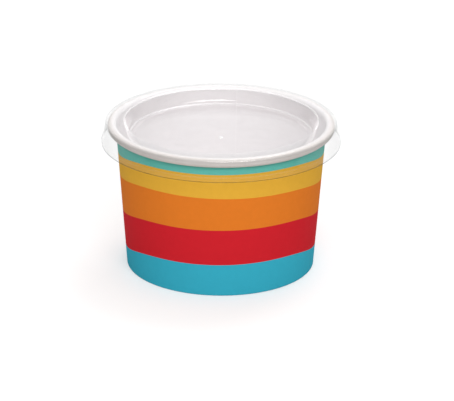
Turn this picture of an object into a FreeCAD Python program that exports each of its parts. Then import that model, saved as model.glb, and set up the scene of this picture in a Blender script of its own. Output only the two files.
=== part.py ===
import os
import math
import FreeCAD, Part

os.makedirs("parts", exist_ok=True)

# Paper cup with a clear lid. Lengths in mm, angles in degrees.
# The frame stands on the table: origin under the middle of the cup, +Z up,
# the front of the cup looks toward -Y.

# Driving sizes of the paper
board = 0.4                # thickness of the coated board
cup_height = 62.3          # table to the top of the rolled rim
base_radius = 39.2         # outside of the side wall at the table
wall_taper = 4.27          # lean of the side wall, from the vertical
rim_curl_radius = 1.9      # outside radius of the rolled rim
rim_inner_curl_radius = 1.2    # the second, inner turn of the roll
rim_inner_curl_end = 75.0  # direction in which the inner turn stops

# Hem at the foot, which holds the bottom disc
hem_height = 6.4           # how far the folded edge runs up inside
seal_film = 0.05           # sealed coating between two layers of board
fold_bend = 0.3            # middle of the sheet, at both bends of the foot
disc_height = 7.0          # table to the underside of the bottom disc
disc_bend_radius = 0.7     # middle of the sheet, where the disc edge turns down
disc_skirt_foot = 1.2      # the turned-down edge stops this far above the table

# Side seam at the back
seam_width = 6.5           # width of the lap
seam_turn = 85.9           # direction of the middle of the seam, from +X toward +Y
seam_stop_below_curl = 0.3   # the lap's raised edge ends this far under the roll
flank_root = 0.1           # the flank of the lap starts this deep in the single layer

# Lid of clear sheet
lid_sheet = 0.35
lid_rest_gap = 0.1         # between the ring of the lid and the rolled rim
mouth_inset = 2.9          # inside of the roll to the edge of the sunken wall
lid_mouth_bend = 0.7
recess_depth = 6.3         # ring top to panel top
recess_draft = 1.92        # the sunken wall comes in by this much on the way down
panel_bend = 2.5           # foot of the sunken wall
panel_border = 2.7         # foot of the sunken wall to the shallow step round the panel
panel_step_height = 0.35
panel_step_run = 0.5
skirt_clearance = 0.6      # rolled rim to the inside of the skirt, at its top
shoulder_bend = 1.3        # from the ring into the skirt
skirt_flare = 1.5          # the skirt leans out by this much on the way down
skirt_drop = 9.2           # ring top to the lower edge of the skirt
lip_height = 2.0           # plain lip under the small step in the skirt
lip_step = 0.2
lip_run = 0.6              # the step is spread over this height
small_bend = 0.35
gate_mark_radius = 0.9     # small round mark in the panel
gate_mark_height = 0.15
gate_mark_forward = 5.0    # the mark lies this far in front of the middle

slope = math.tan(math.radians(wall_taper))
lean = math.cos(math.radians(wall_taper))


def point(r, z):
    return FreeCAD.Vector(r, 0.0, z)


def rounded_run(corners, bends):
    """Lines and tangent arcs through corner points. bends has one radius per
    inner corner. Returns pieces ("line", a, b) and ("arc", centre, radius, a, b, side)."""
    run = []
    here = corners[0]
    for i in range(1, len(corners) - 1):
        into = (corners[i] - corners[i - 1]).normalize()
        away = (corners[i + 1] - corners[i]).normalize()
        turn = into.x * away.z - into.z * away.x
        angle = math.acos(max(-1.0, min(1.0, into.dot(away))))
        radius = bends[i - 1]
        setback = radius * math.tan(angle / 2.0)
        start = corners[i] - into * setback
        stop = corners[i] + away * setback
        side = 1.0 if turn > 0 else -1.0
        centre = start + point(-into.z, into.x) * (side * radius)
        run.append(("line", here, start))
        run.append(("arc", centre, radius, start, stop, side))
        here = stop
    run.append(("line", here, corners[-1]))
    return run


def left_of(a, b):
    """Unit normal to the left of the way from a to b, in the r-z plane."""
    way = (b - a).normalize()
    return point(-way.z, way.x)


def offset_edges(run, shift):
    """Edges of the run, moved to its left by shift. Also gives both end points."""
    edges = []
    ends = []
    for piece in run:
        if piece[0] == "line":
            normal = left_of(piece[1], piece[2])
            a = piece[1] + normal * shift
            b = piece[2] + normal * shift
            edges.append(Part.makeLine(a, b))
        else:
            centre = piece[1]
            radius = piece[2]
            side = piece[5]
            scale = (radius - side * shift) / radius
            a = centre + (piece[3] - centre) * scale
            b = centre + (piece[4] - centre) * scale
            from_angle = math.atan2(a.z - centre.z, a.x - centre.x)
            to_angle = math.atan2(b.z - centre.z, b.x - centre.x)
            while side > 0 and to_angle <= from_angle:
                to_angle += 2.0 * math.pi
            while side < 0 and to_angle >= from_angle:
                to_angle -= 2.0 * math.pi
            half = (from_angle + to_angle) / 2.0
            size = radius * scale
            middle = centre + point(math.cos(half), math.sin(half)) * size
            edges.append(Part.Arc(a, middle, b).toShape())
        ends.append(a)
        ends.append(b)
    return edges, ends[0], ends[-1]


def sheet_face(run, thickness):
    """Section of a sheet whose middle follows the run."""
    left, left_start, left_end = offset_edges(run, thickness / 2.0)
    right, right_start, right_end = offset_edges(run, -thickness / 2.0)
    outline = list(left)
    outline.append(Part.makeLine(left_end, right_end))
    outline += list(reversed(right))
    if (right_start - left_start).Length > 1e-7:
        outline.append(Part.makeLine(right_start, left_start))
    return Part.Face(Part.Wire(Part.__sortEdges__(outline)))


def turned(face):
    return face.revolve(point(0, 0), FreeCAD.Vector(0, 0, 1), 360.0)


def arc_piece(centre, radius, from_degrees, to_degrees):
    """Arc piece of a run, turning the way the two directions are given."""
    a = math.radians(from_degrees)
    b = math.radians(to_degrees)
    start = centre + point(math.cos(a), math.sin(a)) * radius
    stop = centre + point(math.cos(b), math.sin(b)) * radius
    side = 1.0 if to_degrees > from_degrees else -1.0
    return ("arc", centre, radius, start, stop, side)


def wall_outside(z):
    """Outside radius of the side wall at height z."""
    return base_radius + z * slope


def wall_middle(z):
    return wall_outside(z) - board / 2.0 / lean


# Rolled rim: the sheet turns outward over the top and in again below
curl_z = cup_height - rim_curl_radius
curl_r = wall_outside(curl_z) - board / lean + rim_curl_radius / lean
rim_outer_radius = curl_r + rim_curl_radius
curl_middle = rim_curl_radius - board / 2.0
curl_centre = point(curl_r, curl_z)
curl_start = 180.0 - wall_taper
inner_curl_middle = rim_inner_curl_radius - board / 2.0
inner_centre = curl_centre - point(0, curl_middle - inner_curl_middle)
outer_turn = arc_piece(curl_centre, curl_middle, curl_start, -90.0)
inner_turn = arc_piece(inner_centre, inner_curl_middle, -90.0, rim_inner_curl_end - 360.0)

# Foot: the sheet turns inward with a narrow flat to stand on, then runs up
# again as a hem, parallel to the wall, with room for the disc edge between
layer_gap = board + 2.0 * seal_film
hem_shift = layer_gap + board
foot_z = board / 2.0
wall_corner = point(wall_middle(foot_z), foot_z)
hem_corner = point(wall_corner.x - hem_shift / lean, foot_z)
hem_top = point(hem_corner.x + (hem_height - foot_z) * slope, hem_height)
foot_corners = [hem_top, hem_corner, wall_corner, outer_turn[3]]
side_run = rounded_run(foot_corners, [fold_bend, fold_bend])
side_run.append(outer_turn)
side_run.append(inner_turn)
side_wall = turned(sheet_face(side_run, board))

# Lapped seam: a second layer outside, with a plane flank that runs out to the
# single layer on one side and a plain cut edge on the other
lap_foot_z = fold_bend + board / 2.0
lap_top_z = curl_z - rim_curl_radius - seam_stop_below_curl
lap_root = board / 2.0
lap_outline = [
    point(wall_outside(lap_foot_z) - lap_root, lap_foot_z),
    point(wall_outside(lap_foot_z) + board, lap_foot_z),
    point(wall_outside(lap_top_z) + board, lap_top_z),
    point(wall_outside(lap_top_z) - lap_root, lap_top_z),
]
lap_face = Part.Face(Part.makePolygon(lap_outline + lap_outline[:1]))
lap_foot_r = wall_outside(lap_foot_z)
ramp_angle = math.degrees(math.acos(lap_foot_r / (lap_foot_r + board)))
seam_angle = math.degrees(seam_width / wall_outside(cup_height / 2.0))
up = FreeCAD.Vector(0, 0, 1)
lap = lap_face.revolve(point(0, 0), up, seam_angle + ramp_angle)
flank_base = FreeCAD.Vector(base_radius - flank_root, 0, 0)
flank_cut = Part.makeBox(base_radius, base_radius, 2.0 * cup_height)
flank_cut.translate(flank_base - FreeCAD.Vector(0, base_radius / 2.0, cup_height / 2.0))
flank_cut.rotate(flank_base, FreeCAD.Vector(0, 1, 0), wall_taper)
lap = lap.cut(flank_cut)
lap.rotate(FreeCAD.Vector(0, 0, 0), up, seam_turn - seam_angle / 2.0 - ramp_angle)
side_wall = side_wall.fuse(lap).removeSplitter()

# Bottom disc with its edge turned down between the two layers of the foot
disc_middle_z = disc_height + board / 2.0
layer_in = board + seal_film
disc_corners = [
    point(0, disc_middle_z),
    point(wall_middle(disc_middle_z) - layer_in / lean, disc_middle_z),
    point(wall_middle(disc_skirt_foot) - layer_in / lean, disc_skirt_foot),
]
bottom_disc = turned(sheet_face(rounded_run(disc_corners, [disc_bend_radius]), board))

# Lid, one formed sheet from the middle of the panel out to the lower edge
ring_top = cup_height + lid_rest_gap + lid_sheet
ring_z = ring_top - lid_sheet / 2.0
panel_z = ring_z - recess_depth
skirt_inner = rim_outer_radius + skirt_clearance
skirt_top = skirt_inner + lid_sheet / 2.0
lid_foot_z = ring_top - skirt_drop
step_z = lid_foot_z + lip_height
skirt_low = skirt_top + skirt_flare
cup_mouth_radius = curl_r - rim_curl_radius
lid_mouth_radius = cup_mouth_radius - mouth_inset - lid_sheet / 2.0
panel_radius = lid_mouth_radius - recess_draft
panel_step_radius = panel_radius - panel_border
lid_corners = [
    point(0, panel_z + panel_step_height),
    point(panel_step_radius, panel_z + panel_step_height),
    point(panel_step_radius + panel_step_run, panel_z),
    point(panel_radius, panel_z),
    point(lid_mouth_radius, ring_z),
    point(skirt_top, ring_z),
    point(skirt_low, step_z),
    point(skirt_low + lip_step, step_z - lip_run),
    point(skirt_low + lip_step, lid_foot_z),
]
lid_bends = [small_bend, small_bend, panel_bend, lid_mouth_bend, shoulder_bend, small_bend, small_bend]
lid = turned(sheet_face(rounded_run(lid_corners, lid_bends), lid_sheet))
gate_mark = Part.makeCylinder(gate_mark_radius, gate_mark_height + lid_sheet / 2.0)
gate_mark.translate(FreeCAD.Vector(0, -gate_mark_forward, panel_z + panel_step_height))
lid = lid.fuse(gate_mark).removeSplitter()

pieces = {"side_wall": side_wall, "bottom_disc": bottom_disc, "lid": lid}
for name, shape in pieces.items():
    solid = shape.Solids[0]
    box = solid.BoundBox
    print(name, "valid", solid.isValid(), "solids", len(shape.Solids), "volume", round(solid.Volume, 1),
          "x", round(box.XMin, 2), round(box.XMax, 2), "z", round(box.ZMin, 3), round(box.ZMax, 3))
    solid.exportStep(os.path.join("parts", name + ".step"))
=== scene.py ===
import math

import bmesh
import bpy
from mathutils import Matrix, Vector


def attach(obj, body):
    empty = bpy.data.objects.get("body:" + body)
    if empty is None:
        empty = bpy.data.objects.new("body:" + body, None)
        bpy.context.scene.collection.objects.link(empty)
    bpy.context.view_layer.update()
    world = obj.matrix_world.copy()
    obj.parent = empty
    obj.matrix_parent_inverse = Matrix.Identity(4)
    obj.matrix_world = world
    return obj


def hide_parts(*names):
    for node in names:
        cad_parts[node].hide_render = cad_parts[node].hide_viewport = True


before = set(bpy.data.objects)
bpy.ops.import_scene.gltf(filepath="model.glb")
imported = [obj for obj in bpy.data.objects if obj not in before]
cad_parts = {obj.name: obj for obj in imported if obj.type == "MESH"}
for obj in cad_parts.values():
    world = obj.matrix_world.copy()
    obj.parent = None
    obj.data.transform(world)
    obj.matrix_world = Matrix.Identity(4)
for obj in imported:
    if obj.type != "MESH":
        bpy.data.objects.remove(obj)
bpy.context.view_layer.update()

# Side wall: one blank of white cup board, printed outside with five bands of
# ink under a thin clear coating. It is bent to a cone, lapped and sealed at the
# back, rolled outward at the top and folded inward round the bottom disc.
MM = 0.001
BOARD = 0.4 * MM
CUP_HEIGHT = 62.3 * MM
BASE_RADIUS = 39.2 * MM             # outside of the wall at the table
TAPER = math.radians(4.27)          # lean of the wall, from the vertical
ROLL_RADIUS = 1.9 * MM              # outside of the rolled rim
INNER_ROLL_RADIUS = 1.2 * MM        # second, tighter turn of the roll
INNER_ROLL_STOP = math.radians(75.0 - 360.0)
HEM_HEIGHT = 6.4 * MM
SEAL_FILM = 0.05 * MM               # sealed coating between two layers
FOOT_BEND = 0.3 * MM
FOOT_FREED = (0.36 * MM, 1.56 * MM)     # the fold at the foot stays true round
SEAM_WIDTH = 6.5 * MM
SEAM_TURN = math.radians(85.9)      # middle of the lap, from +X toward +Y
SEAM_RAMP = math.radians(8.2)       # the outer layer rises onto the lap over this
SEAM_EDGE = math.radians(0.03)      # half the width of a cut edge
INNER_EDGE_SHARE = 0.2              # the inner edge of the lap is pressed thin
KNURL_RIBS = 90                     # pressed round the hem, to seal it
KNURL_DEPTH = 0.07 * MM
KNURL_FOOT = 0.6 * MM
KNURL_TOP = HEM_HEIGHT - 0.3 * MM
WALL_COLUMNS = 360
SLOPE = math.tan(TAPER)
LEAN = math.cos(TAPER)


def rounded_line(corners, bends, longest):
    """Points (r, z) along straight runs and tangent bends, and the unit normal
    to the left at each."""
    points = []
    here = corners[0]

    def straight(a, b):
        length = math.dist(a, b)
        steps = max(1, math.ceil(length / longest))
        normal = (-(b[1] - a[1]) / length, (b[0] - a[0]) / length)
        for i in range(steps + 1):
            t = i / steps
            points.append((a[0] + (b[0] - a[0]) * t, a[1] + (b[1] - a[1]) * t, *normal))

    for i in range(1, len(corners) - 1):
        into = unit(corners[i - 1], corners[i])
        away = unit(corners[i], corners[i + 1])
        cross = into[0] * away[1] - into[1] * away[0]
        angle = math.acos(max(-1.0, min(1.0, into[0] * away[0] + into[1] * away[1])))
        side = 1.0 if cross > 0 else -1.0
        radius = bends[i - 1]
        setback = radius * math.tan(angle / 2)
        start = (corners[i][0] - into[0] * setback, corners[i][1] - into[1] * setback)
        centre = (start[0] - into[1] * side * radius, start[1] + into[0] * side * radius)
        first = math.atan2(start[1] - centre[1], start[0] - centre[0])
        straight(here, start)
        points.extend(arc_points(centre, radius, first, first + side * angle)[1:-1])
        here = (corners[i][0] + away[0] * setback, corners[i][1] + away[1] * setback)
    straight(here, corners[-1])
    return points


def unit(a, b):
    length = math.dist(a, b)
    return ((b[0] - a[0]) / length, (b[1] - a[1]) / length)


def arc_points(centre, radius, first, last, step=math.radians(11)):
    """Points round an arc, and the unit normal to the left at each."""
    steps = max(3, math.ceil(abs(last - first) / step))
    side = 1.0 if last > first else -1.0
    points = []
    for i in range(steps + 1):
        a = first + (last - first) * i / steps
        c, s = math.cos(a), math.sin(a)
        points.append((centre[0] + radius * c, centre[1] + radius * s, -side * c, -side * s))
    return points


def sheet_section(middle, thickness, closed, freed=None):
    """Mesh of edges round a sheet: out along its left face, back along its
    right. layer is 1 on the left face and 0 on the right. The columns move
    nothing below the first height of freed, and all of it above the second."""
    ring = []
    for r, z, nr, nz in middle:
        ring.append((r + nr * thickness / 2, z + nz * thickness / 2, nr, nz, 1.0))
    for r, z, nr, nz in reversed(middle):
        ring.append((r - nr * thickness / 2, z - nz * thickness / 2, nr, nz, 0.0))
    if freed is not None:
        still, free = freed
        shares = [max(0.0, min(1.0, (p[1] - still) / (free - still))) for p in ring]
        ring = [(r, z, nr * s, nz * s, face) for (r, z, nr, nz, face), s in zip(ring, shares)]
    mesh = bpy.data.meshes.new("section")
    edges = [(i, i + 1) for i in range(len(ring) - 1)]
    if closed:
        ring.append(ring[0])
        edges.append((len(ring) - 2, len(ring) - 1))
    mesh.from_pydata([(max(0.0, p[0]), 0.0, p[1]) for p in ring], edges, [])
    sheet_way = mesh.attributes.new("sheet_way", "FLOAT_VECTOR", "POINT")
    for i, p in enumerate(ring):
        sheet_way.data[i].vector = (p[2], 0.0, p[3])
    layer = mesh.attributes.new("layer", "FLOAT", "POINT")
    for i, p in enumerate(ring):
        layer.data[i].value = p[4]
    section = bpy.data.objects.new("section", mesh)
    bpy.context.scene.collection.objects.link(section)
    return section


def column_points(columns):
    """Loose points, one for each direction round the axis, with what the left
    and right face of the sheet do there."""
    mesh = bpy.data.meshes.new("columns")
    mesh.from_pydata([(0.0, 0.0, 0.0)] * len(columns), [], [])
    for k, name in enumerate(("turn", "left_shift", "right_shift", "ripple")):
        values = mesh.attributes.new(name, "FLOAT", "POINT")
        for i, column in enumerate(columns):
            values.data[i].value = column[k]
    points = bpy.data.objects.new("columns", mesh)
    bpy.context.scene.collection.objects.link(points)
    return points


def add_node(tree, kind, inputs=None, **settings):
    """One node with its settings. An input is a plain value, or a node or a
    socket that is linked to it."""
    node = tree.nodes.new(kind)
    for name, value in settings.items():
        setattr(node, name, value)
    for key, value in (inputs or {}).items():
        socket = node.inputs[key] if isinstance(key, int) else next(
            s for s in node.inputs if s.name == key and s.enabled)
        if isinstance(value, bpy.types.Node):
            value = next(s for s in value.outputs if s.enabled)
        if isinstance(value, bpy.types.NodeSocket):
            tree.links.new(value, socket)
        else:
            socket.default_value = value
    return node


DOUBLES = 0.0002 * MM       # points closer than this are one point


def turned_sheet_tree():
    """A sheet turned round the axis: every point of the section at every column,
    moved across the sheet by the column's shift for its face."""
    tree = bpy.data.node_groups.new("turned sheet", "GeometryNodeTree")
    face = tree.interface
    face.new_socket(name="Geometry", in_out="INPUT", socket_type="NodeSocketGeometry")
    face.new_socket(name="Section", in_out="INPUT", socket_type="NodeSocketObject")
    face.new_socket(name="Columns", in_out="INPUT", socket_type="NodeSocketObject")
    face.new_socket(name="Ripple Foot", in_out="INPUT", socket_type="NodeSocketFloat")
    face.new_socket(name="Ripple Top", in_out="INPUT", socket_type="NodeSocketFloat")
    face.new_socket(name="Ripple Radius", in_out="INPUT", socket_type="NodeSocketFloat")
    face.new_socket(name="Ripple Reach", in_out="INPUT", socket_type="NodeSocketFloat")
    face.new_socket(name="Left Face", in_out="INPUT", socket_type="NodeSocketMaterial")
    face.new_socket(name="Right Face", in_out="INPUT", socket_type="NodeSocketMaterial")
    face.new_socket(name="Cut Edge", in_out="INPUT", socket_type="NodeSocketMaterial")
    face.new_socket(name="Geometry", in_out="OUTPUT", socket_type="NodeSocketGeometry")
    given = add_node(tree, "NodeGroupInput").outputs
    section = add_node(tree, "GeometryNodeObjectInfo", {"Object": given["Section"]})
    section = section.outputs["Geometry"]
    columns = add_node(tree, "GeometryNodeObjectInfo", {"Object": given["Columns"]})
    columns = columns.outputs["Geometry"]
    rows = add_node(tree, "GeometryNodeAttributeDomainSize", {"Geometry": section},
                    component="MESH").outputs["Point Count"]
    across = add_node(tree, "GeometryNodeAttributeDomainSize", {"Geometry": columns},
                      component="MESH").outputs["Point Count"]
    grid = add_node(tree, "GeometryNodeMeshGrid", {"Vertices X": rows, "Vertices Y": across})
    index = add_node(tree, "GeometryNodeInputIndex")
    row = add_node(tree, "ShaderNodeMath", {0: index, 1: across}, operation="DIVIDE")
    row = add_node(tree, "ShaderNodeMath", {0: row}, operation="FLOOR")
    column = add_node(tree, "ShaderNodeMath", {0: index, 1: across}, operation="MODULO")

    # what each grid point takes from its place in the section and its column
    taken = {}
    for name, source, where, data_type in (
            ("place", section, row, "FLOAT_VECTOR"), ("sheet_way", section, row, "FLOAT_VECTOR"),
            ("layer", section, row, "FLOAT"), ("turn", columns, column, "FLOAT"),
            ("left_shift", columns, column, "FLOAT"), ("right_shift", columns, column, "FLOAT"),
            ("ripple", columns, column, "FLOAT")):
        if name == "place":
            value = add_node(tree, "GeometryNodeInputPosition")
        else:
            value = add_node(tree, "GeometryNodeInputNamedAttribute", {"Name": name},
                             data_type=data_type)
        whole = add_node(tree, "FunctionNodeFloatToInt", {0: where}, rounding_mode="ROUND")
        taken[name] = add_node(tree, "GeometryNodeSampleIndex",
                               {"Geometry": source, "Value": value, "Index": whole},
                               data_type=data_type, domain="POINT")

    # shift across the sheet: the column's own, and a ripple between two heights
    # at all points that are within reach of one radius
    shift = add_node(tree, "ShaderNodeMix",
                     {"Factor": taken["layer"], "A": taken["right_shift"],
                      "B": taken["left_shift"]}, data_type="FLOAT")
    spot = add_node(tree, "ShaderNodeSeparateXYZ", {0: taken["place"]}).outputs
    above = add_node(tree, "ShaderNodeMapRange",
                     {"Value": spot["Z"], "From Min": given["Ripple Foot"],
                      "From Max": given["Ripple Top"]})
    hump = add_node(tree, "ShaderNodeMath", {0: above, 1: math.pi}, operation="MULTIPLY")
    hump = add_node(tree, "ShaderNodeMath", {0: hump}, operation="SINE")
    hump = add_node(tree, "ShaderNodeMath", {0: hump, 1: taken["ripple"]}, operation="MULTIPLY")
    reached = add_node(tree, "ShaderNodeMath",
                       {0: spot["X"], 1: given["Ripple Radius"], 2: given["Ripple Reach"]},
                       operation="COMPARE")
    hump = add_node(tree, "ShaderNodeMath", {0: hump, 1: reached}, operation="MULTIPLY")
    shift = add_node(tree, "ShaderNodeMath", {0: shift, 1: hump}, operation="ADD")
    moved = add_node(tree, "ShaderNodeVectorMath", {0: taken["sheet_way"], "Scale": shift},
                     operation="SCALE")
    moved = add_node(tree, "ShaderNodeVectorMath", {0: taken["place"], 1: moved}, operation="ADD")
    moved = add_node(tree, "ShaderNodeSeparateXYZ", {0: moved}).outputs
    cosine = add_node(tree, "ShaderNodeMath", {0: taken["turn"]}, operation="COSINE")
    sine = add_node(tree, "ShaderNodeMath", {0: taken["turn"]}, operation="SINE")
    x = add_node(tree, "ShaderNodeMath", {0: moved["X"], 1: cosine}, operation="MULTIPLY")
    y = add_node(tree, "ShaderNodeMath", {0: moved["X"], 1: sine}, operation="MULTIPLY")
    turned = add_node(tree, "ShaderNodeCombineXYZ", {"X": x, "Y": y, "Z": moved["Z"]})
    laid = add_node(tree, "GeometryNodeSetPosition",
                    {"Geometry": grid.outputs["Mesh"], "Position": turned})

    # a face lies on the left or right of the sheet, or between them on its cut edge
    side = add_node(tree, "GeometryNodeFieldOnDomain", {"Value": taken["layer"]},
                    domain="FACE", data_type="FLOAT")
    kept = add_node(tree, "GeometryNodeStoreNamedAttribute",
                    {"Geometry": laid, "Value": side, "Name": "side"},
                    data_type="FLOAT", domain="FACE")
    closed = add_node(tree, "GeometryNodeMergeByDistance", {"Geometry": kept, "Distance": DOUBLES})
    done = add_node(tree, "GeometryNodeRealizeInstances", {"Geometry": closed})
    done = add_node(tree, "GeometryNodeSetMaterial",
                    {"Geometry": done, "Material": given["Cut Edge"]})
    side = add_node(tree, "GeometryNodeInputNamedAttribute", {"Name": "side"}, data_type="FLOAT")
    for face_name, operation, limit in (("Left Face", "GREATER_THAN", 0.99),
                                        ("Right Face", "LESS_THAN", 0.01)):
        chosen = add_node(tree, "FunctionNodeCompare", {"A": side, "B": limit},
                          data_type="FLOAT", operation=operation)
        done = add_node(tree, "GeometryNodeSetMaterial",
                        {"Geometry": done, "Selection": chosen, "Material": given[face_name]})
    add_node(tree, "NodeGroupOutput", {0: done})
    return tree


TURNED_SHEET = turned_sheet_tree()


def turned_piece(name, section, columns, finishes, ripple=(0.0, 1.0, 0.0, 0.0), crease=40.0):
    """Plain mesh object of a sheet turned round the axis. ripple gives the foot
    and top of the rippled strip, and the radius and reach that it lies within.
    Edges bent by more than crease degrees stay sharp."""
    holder = bpy.data.objects.new(name + "_tree", bpy.data.meshes.new(name + "_tree"))
    bpy.context.scene.collection.objects.link(holder)
    modifier = holder.modifiers.new("turned sheet", "NODES")
    modifier.node_group = TURNED_SHEET
    values = {"Section": section, "Columns": columns,
              "Ripple Foot": ripple[0], "Ripple Top": ripple[1],
              "Ripple Radius": ripple[2], "Ripple Reach": ripple[3],
              "Left Face": finishes[0], "Right Face": finishes[1], "Cut Edge": finishes[2]}
    for socket in TURNED_SHEET.interface.items_tree:
        if socket.in_out == "INPUT" and socket.name in values:
            modifier[socket.identifier] = values[socket.name]
    bpy.context.view_layer.update()
    evaluated = holder.evaluated_get(bpy.context.evaluated_depsgraph_get())
    mesh = bpy.data.meshes.new_from_object(evaluated)
    mesh.name = name
    for used in (holder, section, columns):
        bpy.data.objects.remove(used)
    edit = bmesh.new()
    edit.from_mesh(mesh)
    bmesh.ops.dissolve_degenerate(edit, dist=DOUBLES / 2, edges=edit.edges)
    bmesh.ops.recalc_face_normals(edit, faces=edit.faces)
    edit.to_mesh(mesh)
    edit.free()
    mesh.shade_smooth()
    mesh.set_sharp_from_angle(angle=math.radians(crease))
    piece = bpy.data.objects.new(name, mesh)
    bpy.context.scene.collection.objects.link(piece)
    return piece


def wall_outside(z):
    return BASE_RADIUS + z * SLOPE


roll_z = CUP_HEIGHT - ROLL_RADIUS
roll_r = wall_outside(roll_z) - BOARD / LEAN + ROLL_RADIUS / LEAN
roll_middle = ROLL_RADIUS - BOARD / 2
inner_middle = INNER_ROLL_RADIUS - BOARD / 2
roll_start = math.pi - TAPER
foot_z = BOARD / 2
wall_corner = (wall_outside(foot_z) - BOARD / 2 / LEAN, foot_z)
hem_corner = (wall_corner[0] - (2 * BOARD + 2 * SEAL_FILM) / LEAN, foot_z)
hem_top = (hem_corner[0] + (HEM_HEIGHT - foot_z) * SLOPE, HEM_HEIGHT)
roll_foot = (roll_r + roll_middle * math.cos(roll_start),
             roll_z + roll_middle * math.sin(roll_start))
wall_line = rounded_line([hem_top, hem_corner, wall_corner, roll_foot],
                         [FOOT_BEND, FOOT_BEND], longest=1.6 * MM)
wall_line += arc_points((roll_r, roll_z), roll_middle, roll_start, -math.pi / 2)[1:]
wall_line += arc_points((roll_r, roll_z - roll_middle + inner_middle), inner_middle,
                        -math.pi / 2, INNER_ROLL_STOP, step=math.radians(20))[1:]

# two close columns at each cut edge of the lap make it a clean step
seam_half = SEAM_WIDTH / wall_outside(CUP_HEIGHT / 2) / 2
inner_edge = SEAM_TURN - seam_half
outer_edge = SEAM_TURN + seam_half
turns = [2 * math.pi * i / WALL_COLUMNS for i in range(WALL_COLUMNS)]
turns = [a for a in turns if min(abs(a - inner_edge), abs(a - outer_edge)) > 10 * SEAM_EDGE]
turns += [inner_edge - SEAM_EDGE, inner_edge + SEAM_EDGE]
turns += [outer_edge - SEAM_EDGE, outer_edge + SEAM_EDGE]
turns = sorted(turns) + [2 * math.pi]


def seam_ramp(turn):
    t = max(0.0, min(1.0, (turn - (inner_edge - SEAM_RAMP)) / SEAM_RAMP))
    return BOARD * t * t * (3 - 2 * t)


# the outer layer rises onto the inner one, which starts at inner_edge with a
# small step inside, and it ends at outer_edge with a full step outside
wall_columns = []
for turn in turns:
    inside = -seam_ramp(turn) * INNER_EDGE_SHARE if turn < inner_edge else 0.0
    outside = -seam_ramp(turn) if turn < outer_edge else 0.0
    ripple = -KNURL_DEPTH * 0.5 * (1 - math.cos(KNURL_RIBS * turn))
    wall_columns.append((turn, inside, outside, ripple))


def linear(hex_code):
    """Linear colour of an sRGB hex value."""
    parts = [int(hex_code[i:i + 2], 16) / 255 for i in (1, 3, 5)]
    parts = [c / 12.92 if c <= 0.04045 else ((c + 0.055) / 1.055) ** 2.4 for c in parts]
    return (*parts, 1.0)


def new_finish(name):
    """Material with an empty tree, its output and one Principled shader."""
    finish = bpy.data.materials.new(name)
    finish.use_nodes = True
    tree = finish.node_tree
    tree.nodes.clear()
    shader = tree.nodes.new("ShaderNodeBsdfPrincipled")
    result = tree.nodes.new("ShaderNodeOutputMaterial")
    tree.links.new(shader.outputs[0], result.inputs["Surface"])
    return finish, tree, shader


def round_place(tree):
    """Place on the object, its distance from the axis and its height."""
    place = add_node(tree, "ShaderNodeTexCoord").outputs["Object"]
    flat = add_node(tree, "ShaderNodeVectorMath", {0: place, 1: (1.0, 1.0, 0.0)},
                    operation="MULTIPLY")
    radius = add_node(tree, "ShaderNodeVectorMath", {0: flat}, operation="LENGTH")
    height = add_node(tree, "ShaderNodeSeparateXYZ", {0: place})
    return place, radius.outputs["Value"], height.outputs["Z"]


# Pressed board: single fibres are too fine to show, so bundles of them are
# drawn. The sheet isn't quite flat, and its colour has a faint mottle.
FIBRE_BUNDLE = 0.9 * MM
BOARD_WAVE = 26 * MM
BOARD_WAVE_DEPTH = 0.35 * MM
MOTTLE = 2.2 * MM
MOTTLE_DARKEST = 0.965
ROUGHNESS_SPREAD = 0.04


def board_surface(tree, shader, place, colour, fibre_depth, roughness):
    """Fibres, slow waves and mottle of the board, linked to its shader."""
    fibres = add_node(tree, "ShaderNodeTexNoise",
                      {"Vector": place, "Scale": 1 / FIBRE_BUNDLE, "Detail": 3.0,
                       "Roughness": 0.6})
    waves = add_node(tree, "ShaderNodeTexNoise",
                     {"Vector": place, "Scale": 1 / BOARD_WAVE, "Detail": 1.0})
    bump = add_node(tree, "ShaderNodeBump",
                    {"Height": fibres, "Strength": 0.5, "Distance": fibre_depth})
    bump = add_node(tree, "ShaderNodeBump",
                    {"Height": waves, "Normal": bump, "Strength": 0.5,
                     "Distance": BOARD_WAVE_DEPTH})
    mottle = add_node(tree, "ShaderNodeTexNoise",
                      {"Vector": place, "Scale": 1 / MOTTLE, "Detail": 4.0})
    shade = add_node(tree, "ShaderNodeMapRange",
                     {"Value": mottle, "From Min": 0.3, "From Max": 0.7,
                      "To Min": MOTTLE_DARKEST, "To Max": 1.0})
    tinted = add_node(tree, "ShaderNodeMix", {"Factor": 1.0, "A": colour, "B": shade},
                      data_type="RGBA", blend_type="MULTIPLY")
    gloss = add_node(tree, "ShaderNodeMapRange",
                     {"Value": fibres, "From Min": 0.3, "From Max": 0.7,
                      "To Min": roughness - ROUGHNESS_SPREAD,
                      "To Max": roughness + ROUGHNESS_SPREAD})
    for name, source in (("Normal", bump), ("Base Color", tinted), ("Roughness", gloss)):
        tree.links.new(next(s for s in source.outputs if s.enabled), shader.inputs[name])


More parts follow.
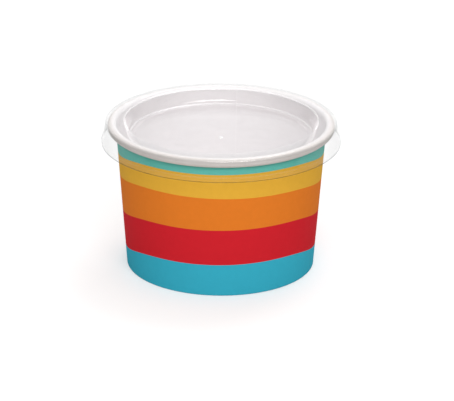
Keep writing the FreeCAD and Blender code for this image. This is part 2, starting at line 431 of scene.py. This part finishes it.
# Coated board, inside: smooth white clay coating with a thin film of plastic,
# so a soft satin sheen over a paper white. Round the roll the white is darker
# and warmer on its outer side: partly the stretched coating with the warmer
# fibres showing, partly painted shade of the roll's side and underside.
COATED_WHITE = linear("#EDE9EA")
STRETCHED_AND_SHADED_WHITE = linear("#D8D0CC")
ROLL_SHADE_START = 0.3 * MM            # outward from the wall
ROLL_SHADE_FULL = 3.0 * MM
coated_white, tree, shader = new_finish("coated_white_board")
place, radius, z = round_place(tree)
outward = add_node(tree, "ShaderNodeMath", {0: z, 1: -SLOPE, 2: radius},
                   operation="MULTIPLY_ADD")
rolled = add_node(tree, "ShaderNodeMapRange",
                  {"Value": outward, "From Min": BASE_RADIUS + ROLL_SHADE_START,
                   "From Max": BASE_RADIUS + ROLL_SHADE_FULL}, interpolation_type="SMOOTHSTEP")
# painted shade: the white turns darker and warmer on the outer side of the roll, partly for the
# stretched coating
white = add_node(tree, "ShaderNodeMix",
                 {"Factor": rolled, "A": COATED_WHITE, "B": STRETCHED_AND_SHADED_WHITE}, data_type="RGBA")
board_surface(tree, shader, place, white, 0.012 * MM, 0.42)
shader.inputs["IOR"].default_value = 1.5
shader.inputs["Specular IOR Level"].default_value = 0.25

# Cut edge of the board: bare fibres, matt and a little creamy.
RAW_CORE = linear("#DDD5C8")
raw_edge, tree, shader = new_finish("cut_board_edge")
place = add_node(tree, "ShaderNodeTexCoord").outputs["Object"]
board_surface(tree, shader, place, RAW_CORE, 0.03 * MM, 0.8)

# Print: five flat inks, offset printed on the coated board. Full, even colours,
# with a faint broad sheen from the clear coating over them. An edge between two
# inks is given in millimetres: its height at the front, the drop that it takes
# round each side and keeps at the back, and a small tilt.
INKS = [linear(c) for c in ("#36A7BE", "#C8212B", "#DB7726", "#DDA839", "#62BAAD")]
INK_EDGES = [(14.03, 5.38, 0.35), (29.64, 5.27, 0.28), (43.81, 4.52, -0.55), (54.43, 4.6, 0.15)]
DROP_MIDDLE = math.radians(63.5)    # from the front, where half of the drop is taken
DROP_SPREAD = math.radians(18.5)
INK_BLEED = 0.06 * MM
SEAM_OFFSET = 0.35 * MM             # the bands miss each other by this at the seam
PRINT_ON_HEM = 2.4 * MM             # the print ends at this height inside
HEM_INWARD = 0.8 * MM               # what lies further in than this is the hem
CUT_SHOWN = 1.6 * SEAM_EDGE         # half of the strip where the bare cut shows
printed, tree, shader = new_finish("offset_printed_board")
place, radius, z = round_place(tree)
spot = add_node(tree, "ShaderNodeSeparateXYZ", {0: place}).outputs
sideways = add_node(tree, "ShaderNodeMath", {0: spot["X"], 1: radius}, operation="DIVIDE")
toward_viewer = add_node(tree, "ShaderNodeMath", {0: spot["Y"], 1: -1.0}, operation="MULTIPLY")
from_front = add_node(tree, "ShaderNodeMath", {0: spot["X"], 1: toward_viewer},
                      operation="ARCTAN2")
from_front = add_node(tree, "ShaderNodeMath", {0: from_front}, operation="ABSOLUTE")
drop = add_node(tree, "ShaderNodeMath",
                {0: from_front, 1: 1 / DROP_SPREAD, 2: -DROP_MIDDLE / DROP_SPREAD},
                operation="MULTIPLY_ADD")
drop = add_node(tree, "ShaderNodeMath", {0: drop}, operation="TANH")
drop = add_node(tree, "ShaderNodeMath", {0: drop, 1: 0.5, 2: 0.5}, operation="MULTIPLY_ADD")

# share of the way round the blank, from its edge on the outside of the lap
turn = add_node(tree, "ShaderNodeMath", {0: spot["Y"], 1: spot["X"]}, operation="ARCTAN2")
turn = add_node(tree, "ShaderNodeMath", {0: turn, 1: 4 * math.pi - outer_edge}, operation="ADD")
turn = add_node(tree, "ShaderNodeMath", {0: turn, 1: 2 * math.pi}, operation="DIVIDE")
round_blank = add_node(tree, "ShaderNodeMath", {0: turn}, operation="FRACT")
lift = add_node(tree, "ShaderNodeMath",
                {0: round_blank, 1: -SEAM_OFFSET, 2: SEAM_OFFSET / 2}, operation="MULTIPLY_ADD")
height = add_node(tree, "ShaderNodeMath", {0: z, 1: lift}, operation="ADD")
ink = INKS[0]
for next_ink, (front_height, side_drop, tilt) in zip(INKS[1:], INK_EDGES):
    above = add_node(tree, "ShaderNodeMath", {0: drop, 1: side_drop * MM, 2: height},
                     operation="MULTIPLY_ADD")
    above = add_node(tree, "ShaderNodeMath", {0: sideways, 1: -tilt * MM, 2: above},
                     operation="MULTIPLY_ADD")
    share = add_node(tree, "ShaderNodeMapRange",
                     {"Value": above, "From Min": front_height * MM - INK_BLEED,
                      "From Max": front_height * MM + INK_BLEED},
                     interpolation_type="SMOOTHSTEP")
    ink = add_node(tree, "ShaderNodeMix", {"Factor": share, "A": ink, "B": next_ink},
                   data_type="RGBA")
inward = add_node(tree, "ShaderNodeMath", {0: z, 1: -SLOPE, 2: radius},
                  operation="MULTIPLY_ADD")
on_hem = add_node(tree, "ShaderNodeMath", {0: inward, 1: BASE_RADIUS - HEM_INWARD},
                  operation="LESS_THAN")
high = add_node(tree, "ShaderNodeMath", {0: z, 1: PRINT_ON_HEM}, operation="GREATER_THAN")
bare = add_node(tree, "ShaderNodeMath", {0: on_hem, 1: high}, operation="MULTIPLY")
cut = add_node(tree, "ShaderNodeMath", {0: round_blank, 1: 1.0, 2: CUT_SHOWN / (2 * math.pi)},
               operation="COMPARE")
for where, shown in ((bare, COATED_WHITE), (cut, RAW_CORE)):
    ink = add_node(tree, "ShaderNodeMix", {"Factor": where, "A": ink, "B": shown},
                   data_type="RGBA")
board_surface(tree, shader, place, ink, 0.008 * MM, 0.45)
shader.inputs["Specular IOR Level"].default_value = 0.0
shader.inputs["Coat Weight"].default_value = 0.07
shader.inputs["Coat Roughness"].default_value = 0.3

side_wall = turned_piece("side_wall_sheet", sheet_section(wall_line, BOARD, True, FOOT_FREED),
                         column_points(wall_columns), (coated_white, printed, raw_edge),
                         (KNURL_FOOT, KNURL_TOP, 0.0, BASE_RADIUS - BOARD))
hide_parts("side_wall")
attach(side_wall, "cup")

# Bottom disc: punched from plain white coated board, its edge turned down and
# sealed between the side wall and the hem. A shallow pressed ring stiffens it.
DISC_HEIGHT = 7.0 * MM              # table to the underside
DISC_BEND = 0.7 * MM
DISC_SKIRT_FOOT = 1.2 * MM          # the turned-down edge ends this far above the table
PRESSED_RING = 33.5 * MM
RING_WIDTH = 1.6 * MM
RING_DEPTH = 0.25 * MM
RING_EASE = 1.2 * MM                # bends at the shoulders and at the foot of the ring
RING_BEND = 0.4 * MM
PLEATS = 72
PLEAT_DEPTH = 0.1 * MM
PLEAT_REACH = 0.9 * MM
DISC_COLUMNS = 288
disc_z = DISC_HEIGHT + BOARD / 2
layer_in = (BOARD + SEAL_FILM + BOARD / 2) / LEAN
disc_edge = wall_outside(disc_z) - layer_in
disc_line = rounded_line(
    [(0.0, disc_z), (PRESSED_RING - RING_WIDTH, disc_z),
     (PRESSED_RING - RING_WIDTH / 3, disc_z - RING_DEPTH),
     (PRESSED_RING + RING_WIDTH / 3, disc_z - RING_DEPTH),
     (PRESSED_RING + RING_WIDTH, disc_z), (disc_edge, disc_z),
     (wall_outside(DISC_SKIRT_FOOT) - layer_in, DISC_SKIRT_FOOT)],
    [RING_EASE, RING_BEND, RING_BEND, RING_EASE, DISC_BEND], longest=6 * MM)
disc_columns = []
for i in range(DISC_COLUMNS + 1):
    turn = 2 * math.pi * i / DISC_COLUMNS
    disc_columns.append((turn, 0.0, 0.0, -PLEAT_DEPTH * 0.5 * (1 - math.cos(PLEATS * turn))))
bottom_disc = turned_piece("bottom_disc_sheet", sheet_section(disc_line, BOARD, False),
                           column_points(disc_columns), (coated_white, coated_white, raw_edge),
                           (HEM_HEIGHT, DISC_HEIGHT + BOARD, disc_edge, PLEAT_REACH))
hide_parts("bottom_disc")
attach(bottom_disc, "cup")

# Lid: thermoformed from one sheet of clear plastic, with a sunken panel, a flat
# ring that lies on the rolled rim, a round shoulder and a skirt with a small lip.
LID_SHEET = 0.35 * MM
REST_GAP = 0.1 * MM
MOUTH_INSET = 2.9 * MM              # inside of the roll to the sunken wall
MOUTH_BEND = 0.7 * MM
RECESS_DEPTH = 6.3 * MM
RECESS_DRAFT = 1.92 * MM
PANEL_BEND = 2.5 * MM
PANEL_BORDER = 2.7 * MM             # foot of the sunken wall to the step
PANEL_STEP = 0.35 * MM
PANEL_STEP_RUN = 0.5 * MM
SKIRT_CLEARANCE = 0.6 * MM
SHOULDER_BEND = 1.3 * MM
SKIRT_FLARE = 1.5 * MM
SKIRT_DROP = 9.2 * MM
LIP_HEIGHT = 2.0 * MM
LIP_STEP = 0.2 * MM
LIP_RUN = 0.6 * MM
SMALL_BEND = 0.35 * MM
MARK_RADIUS = 0.9 * MM              # moulding mark, in front of the middle
MARK_HEIGHT = 0.15 * MM
MARK_FORWARD = 5.0 * MM
MARK_EASE = 0.08 * MM
MARK_ROWS = 26
LID_COLUMNS = 256
ring_top = CUP_HEIGHT + REST_GAP + LID_SHEET
ring_z = ring_top - LID_SHEET / 2
panel_z = ring_z - RECESS_DEPTH
raised_z = panel_z + PANEL_STEP
skirt_top = roll_r + ROLL_RADIUS + SKIRT_CLEARANCE + LID_SHEET / 2
skirt_low = skirt_top + SKIRT_FLARE
lid_foot = ring_top - SKIRT_DROP
lip_z = lid_foot + LIP_HEIGHT
mouth = roll_r - ROLL_RADIUS - MOUTH_INSET - LID_SHEET / 2
panel_edge = mouth - RECESS_DRAFT
step_edge = panel_edge - PANEL_BORDER

# close rows where the moulding mark is pressed up, coarse ones elsewhere
mark_reach = MARK_RADIUS + 3 * MARK_EASE
mark_start = MARK_FORWARD - mark_reach
lid_line = [(0.0, raised_z, 0.0, 1.0), (mark_start / 2, raised_z, 0.0, 1.0)]
for k in range(MARK_ROWS):
    lid_line.append((mark_start + 2 * mark_reach * k / MARK_ROWS, raised_z, 0.0, 1.0))
lid_line += rounded_line(
    [(mark_start + 2 * mark_reach, raised_z), (step_edge, raised_z),
     (step_edge + PANEL_STEP_RUN, panel_z), (panel_edge, panel_z), (mouth, ring_z),
     (skirt_top, ring_z), (skirt_low, lip_z), (skirt_low + LIP_STEP, lip_z - LIP_RUN),
     (skirt_low + LIP_STEP, lid_foot)],
    [SMALL_BEND, SMALL_BEND, PANEL_BEND, MOUTH_BEND, SHOULDER_BEND, SMALL_BEND, SMALL_BEND],
    longest=3 * MM)
lid_columns = [(2 * math.pi * i / LID_COLUMNS, 0.0, 0.0, 0.0) for i in range(LID_COLUMNS + 1)]

# Clear thermoformed sheet: lets light through unbent and reflects a little. It
# takes more light the lower it is looked through, most of all in the skirt. The
# bends are milky, partly the haze of the stretched sheet and partly a painted
# highlight; painted shade dims the sheet at the lip's cut edge and low on the
# shoulder, and its cut edge is grey.
CLEAR_TINT = linear("#FDFDFD")
CUT_TINT = linear("#9AA0A0")
MILK_AND_HIGHLIGHT = linear("#A2A2A2")
HAZE_TINT = linear("#E2E2E2")
PAINTED_SHADE_TINT = linear("#707878")
BLACK = linear("#000000")
FACE_LOSS = 0.015
EDGE_ON_LOSS = 0.35
PANEL_LOSS = 0.145
SKIRT_LOSS = 0.23
SHEET_WAVE = 11 * MM
SHEET_WAVE_DEPTH = 0.15 * MM


def clear_finish(name, let_through, haze_and_highlight_places=(), painted_shade_places=()):
    """Clear sheet. A hazy place, partly haze and partly painted highlight, or a
    painted shade place is a ring (radius, height) or a spot (x, y, z), how far it
    reaches and how strong it is."""
    finish, tree, shader = new_finish(name)
    place, radius, z = round_place(tree)
    profile = add_node(tree, "ShaderNodeCombineXYZ", {"X": radius, "Z": z})
    shares = []
    for places in (haze_and_highlight_places, painted_shade_places):
        share = 0.0
        for point, reach, strength in places:
            where = place
            if len(point) == 2:
                where, point = profile, (point[0], 0.0, point[1])
            apart = add_node(tree, "ShaderNodeVectorMath", {0: where, 1: point},
                             operation="DISTANCE")
            near = add_node(tree, "ShaderNodeMapRange",
                            {"Value": apart.outputs["Value"], "From Max": reach,
                             "To Min": strength, "To Max": 0.0},
                            interpolation_type="SMOOTHSTEP")
            share = add_node(tree, "ShaderNodeMath", {0: share, 1: near}, operation="MAXIMUM")
        shares.append(share)
    # painted highlight, partly the sheet's own haze: milky white lit in the bends and at the mark
    milk_and_highlight = add_node(tree, "ShaderNodeMix", {"Factor": shares[0], "A": BLACK, "B": MILK_AND_HIGHLIGHT},
                    data_type="RGBA")
    tree.links.new(next(s for s in milk_and_highlight.outputs if s.enabled), shader.inputs["Base Color"])
    facing = add_node(tree, "ShaderNodeLayerWeight", {"Blend": 0.5}).outputs["Facing"]
    absorbed = add_node(tree, "ShaderNodeMapRange",
                        {"Value": radius, "From Min": roll_r + ROLL_RADIUS,
                         "From Max": skirt_top, "To Min": PANEL_LOSS, "To Max": SKIRT_LOSS})
    longer = add_node(tree, "ShaderNodeMath", {0: facing, 1: 2.0}, operation="POWER")
    edge_on = add_node(tree, "ShaderNodeMath", {0: facing, 1: 5.0}, operation="POWER")
    loss = add_node(tree, "ShaderNodeMath", {0: edge_on, 1: EDGE_ON_LOSS, 2: FACE_LOSS},
                    operation="MULTIPLY_ADD")
    loss = add_node(tree, "ShaderNodeMath", {0: longer, 1: absorbed, 2: loss},
                    operation="MULTIPLY_ADD")
    clear = let_through
    # what shows through is dimmed by haze, by painted shade and by the loss in the sheet
    for share, shown in ((shares[0], HAZE_TINT), (shares[1], PAINTED_SHADE_TINT), (loss, BLACK)):
        clear = add_node(tree, "ShaderNodeMix", {"Factor": share, "A": clear, "B": shown},
                         data_type="RGBA")
    waves = add_node(tree, "ShaderNodeTexNoise",
                     {"Vector": place, "Scale": 1 / SHEET_WAVE, "Detail": 1.0})
    bump = add_node(tree, "ShaderNodeBump",
                    {"Height": waves, "Strength": 0.5, "Distance": SHEET_WAVE_DEPTH})
    tree.links.new(bump.outputs[0], shader.inputs["Normal"])
    shader.inputs["Roughness"].default_value = 0.06
    shader.inputs["IOR"].default_value = 1.5
    shader.inputs["Specular IOR Level"].default_value = 0.2
    through = add_node(tree, "ShaderNodeBsdfTransparent", {"Color": clear})
    both = add_node(tree, "ShaderNodeAddShader", {0: shader, 1: through})
    output = next(n for n in tree.nodes if n.type == "OUTPUT_MATERIAL")
    tree.links.new(both.outputs[0], output.inputs["Surface"])
    return finish


# milky, partly haze and partly painted highlight: the step, the foot of the sunken
# wall, the mouth, the top and foot of the skirt and the moulding mark; painted
# shade: the cut edge of the lip and the shoulder
milky_and_highlight_bends = [((step_edge + PANEL_STEP_RUN / 2, panel_z + PANEL_STEP / 2), 0.5 * MM, 0.25),
               ((panel_edge - 0.5 * MM, panel_z + 0.35 * MM), 0.5 * MM, 0.45),
               ((mouth, ring_z), 0.6 * MM, 0.7),
               ((skirt_top - 0.5 * MM, ring_z - 0.1 * MM), 1.2 * MM, 0.12),
               ((skirt_low, lip_z), 0.5 * MM, 0.12),
               ((0.0, -MARK_FORWARD, raised_z + MARK_HEIGHT), 1.45 * MARK_RADIUS, 0.86)]
# painted shade: the sheet is dimmed at the lip's cut edge and low on the shoulder, over the rim
painted_shade_bends = [((skirt_low + LIP_STEP, lid_foot), 0.45 * MM, 0.45),
             ((skirt_top - 0.2 * MM, ring_z - 1.0 * MM), 1.2 * MM, 0.15)]
clear_sheet = clear_finish("clear_formed_sheet", CLEAR_TINT, milky_and_highlight_bends, painted_shade_bends)
clear_edge = clear_finish("clear_sheet_cut_edge", CUT_TINT)

lid = turned_piece("lid_sheet", sheet_section(lid_line, LID_SHEET, False),
                   column_points(lid_columns), (clear_sheet, clear_sheet, clear_edge),
                   crease=60.0)
mark_foot = MARK_RADIUS + MARK_EASE
for vertex in lid.data.vertices:
    apart = math.dist(vertex.co[:2], (0.0, -MARK_FORWARD))
    if apart < mark_foot and vertex.co.z > raised_z:
        vertex.co.z += MARK_HEIGHT * min(1.0, (mark_foot - apart) / (2 * MARK_EASE))
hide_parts("lid")
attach(lid, "lid")

# Floor and backdrop: one wide sheet of white studio paper under the cup. A glow
# that only the camera sees lifts it to white, and it keeps the cup's shadow.
FLOOR = 6.0
FLOOR_FRONT = 0.5
FLOOR_WHITE = linear("#C8C8C8")
FLOOR_GLOW = 0.37
floor_mesh = bpy.data.meshes.new("studio_floor")
floor_mesh.from_pydata([(-FLOOR, -FLOOR_FRONT, 0), (FLOOR, -FLOOR_FRONT, 0), (FLOOR, FLOOR, 0),
                        (-FLOOR, FLOOR, 0)], [], [(0, 1, 2, 3)])
floor = bpy.data.objects.new("studio_floor", floor_mesh)
bpy.context.scene.collection.objects.link(floor)
studio = bpy.data.materials.new("studio_paper")
studio.use_nodes = True
tree = studio.node_tree
tree.nodes.clear()
paper = add_node(tree, "ShaderNodeBsdfDiffuse", {"Color": FLOOR_WHITE})
glow = add_node(tree, "ShaderNodeEmission", {"Strength": FLOOR_GLOW})
path = add_node(tree, "ShaderNodeLightPath").outputs
lit = add_node(tree, "ShaderNodeAddShader", {0: paper, 1: glow})
blend = add_node(tree, "ShaderNodeMixShader", {0: path["Is Camera Ray"], 1: paper, 2: lit})
add_node(tree, "ShaderNodeOutputMaterial", {"Surface": blend})
floor.data.materials.append(studio)

# Light of the room: soft on what is matt, and weaker from both sides. What gloss
# mirrors is set apart from it: dim low at the front, bright high at the back, and
# a long soft box ahead, which draws the bright strand in the lid.
SOFT_LEVEL = 0.83
SIDE_FALL = 0.72
TOP_RISE = 0.35
LOW_MIRRORED = (0.12, 0.8)          # at the front and at the back
HIGH_MIRRORED = (0.6, 1.15)
BOX_LEVEL = 6.0
BOX_SIDEWAYS = 0.22
BOX_HEIGHT = 0.6
BOX_HALF_WIDTH = 0.5
BOX_HALF_HEIGHT = 0.18
WHITE = linear("#FFFFFF")
world = bpy.data.worlds.new("studio")
world.use_nodes = True
bpy.context.scene.world = world
tree = world.node_tree
tree.nodes.clear()
toward = add_node(tree, "ShaderNodeTexCoord").outputs["Generated"]
x, y, z = add_node(tree, "ShaderNodeSeparateXYZ", {0: toward}).outputs
high = add_node(tree, "ShaderNodeMath", {0: z, 1: 0.0}, operation="MAXIMUM")
x_squared = add_node(tree, "ShaderNodeMath", {0: x, 1: x}, operation="MULTIPLY")
level = add_node(tree, "ShaderNodeMath", {0: x_squared, 1: -SIDE_FALL, 2: SOFT_LEVEL},
                 operation="MULTIPLY_ADD")
level = add_node(tree, "ShaderNodeMath", {0: high, 1: TOP_RISE, 2: level},
                 operation="MULTIPLY_ADD")
soft = add_node(tree, "ShaderNodeBackground", {"Color": WHITE, "Strength": level})
low_part = add_node(tree, "ShaderNodeMapRange",
                    {"Value": y, "From Min": -0.25, "From Max": 0.1,
                     "To Min": LOW_MIRRORED[0], "To Max": LOW_MIRRORED[1]},
                    interpolation_type="SMOOTHSTEP")
high_part = add_node(tree, "ShaderNodeMapRange",
                     {"Value": y, "From Min": -0.2, "From Max": 0.6,
                      "To Min": HIGH_MIRRORED[0], "To Max": HIGH_MIRRORED[1]},
                     interpolation_type="SMOOTHSTEP")
rise = add_node(tree, "ShaderNodeMapRange", {"Value": z, "From Min": 0.12, "From Max": 0.28},
                interpolation_type="SMOOTHSTEP")
mirrored = add_node(tree, "ShaderNodeMix", {"Factor": rise, "A": low_part, "B": high_part},
                    data_type="FLOAT")
off_box = add_node(tree, "ShaderNodeVectorMath",
                   {0: toward, 1: (1 / BOX_HALF_WIDTH, 0.0, 1 / BOX_HALF_HEIGHT),
                    2: (-BOX_SIDEWAYS / BOX_HALF_WIDTH, 0.0, -BOX_HEIGHT / BOX_HALF_HEIGHT)},
                   operation="MULTIPLY_ADD")
off_box = add_node(tree, "ShaderNodeVectorMath", {0: off_box}, operation="LENGTH")
box = add_node(tree, "ShaderNodeMapRange",
               {"Value": off_box.outputs["Value"], "From Min": 0.8, "From Max": 1.0,
                "To Min": BOX_LEVEL, "To Max": 0.0}, interpolation_type="SMOOTHSTEP")
ahead = add_node(tree, "ShaderNodeMath", {0: y, 1: 0.0}, operation="LESS_THAN")
mirrored = add_node(tree, "ShaderNodeMath", {0: box, 1: ahead, 2: mirrored},
                    operation="MULTIPLY_ADD")
gloss = add_node(tree, "ShaderNodeBackground", {"Color": WHITE, "Strength": mirrored})
plain = add_node(tree, "ShaderNodeBackground", {"Color": WHITE, "Strength": 1.0})
path = add_node(tree, "ShaderNodeLightPath").outputs
blend = soft
for ray, shown in (("Is Glossy Ray", gloss), ("Is Transmission Ray", plain),
                   ("Is Camera Ray", plain)):
    blend = add_node(tree, "ShaderNodeMixShader", {0: path[ray], 1: blend, 2: shown})
add_node(tree, "ShaderNodeOutputWorld", {"Surface": blend})

# Lamps: a wide soft box high up and nearly in front, and a square one overhead,
# a little to the back. Both are turned to the middle of the cup.
LIT_POINT = Vector((0, 0, 0.03))
for name, spot, size, power in (("key", (0.13, -0.96, 0.72), (1.0, 0.3), 6.6),
                                ("overhead", (0.25, 0.5, 1.0), (0.5, 0.5), 3.2)):
    lamp = bpy.data.lights.new(name, "AREA")
    lamp.shape = "RECTANGLE"
    lamp.size, lamp.size_y = size
    lamp.energy = power
    holder = bpy.data.objects.new(name, lamp)
    bpy.context.scene.collection.objects.link(holder)
    holder.location = spot
    holder.rotation_euler = (Vector(spot) - LIT_POINT).to_track_quat("Z", "Y").to_euler()

# Camera: at the photograph's angle, a little above the lid, turned slightly.
ELEVATION = math.radians(21.249)
ROLL = math.radians(0.466)
DISTANCE = 1209.4 * MM
TARGET = (2.67 * MM, 0.0, 26.744 * MM)
PICTURE_WIDTH = 454                 # pixels
PIXELS_PER_MM = 2.387               # at the distance of the target
SENSOR_WIDTH = 36.0
back = (0.0, -math.cos(ELEVATION), math.sin(ELEVATION))
up = (0.0, math.sin(ELEVATION), math.cos(ELEVATION))
right = [math.cos(ROLL), math.sin(ROLL) * up[1], math.sin(ROLL) * up[2]]
upright = [-math.sin(ROLL), math.cos(ROLL) * up[1], math.cos(ROLL) * up[2]]
lens = bpy.data.cameras.new("camera")
lens.sensor_fit = "HORIZONTAL"
lens.sensor_width = SENSOR_WIDTH
lens.lens = PIXELS_PER_MM * (DISTANCE / MM) / PICTURE_WIDTH * SENSOR_WIDTH
lens.clip_start = 0.05
lens.clip_end = 50.0
camera = bpy.data.objects.new("camera", lens)
bpy.context.scene.collection.objects.link(camera)
spot = [TARGET[i] + back[i] * DISTANCE for i in range(3)]
camera.matrix_world = Matrix([[right[0], upright[0], back[0], spot[0]],
                              [right[1], upright[1], back[1], spot[1]],
                              [right[2], upright[2], back[2], spot[2]],
                              [0.0, 0.0, 0.0, 1.0]])
bpy.context.scene.camera = camera
bpy.context.scene.view_settings.view_transform = "Standard"
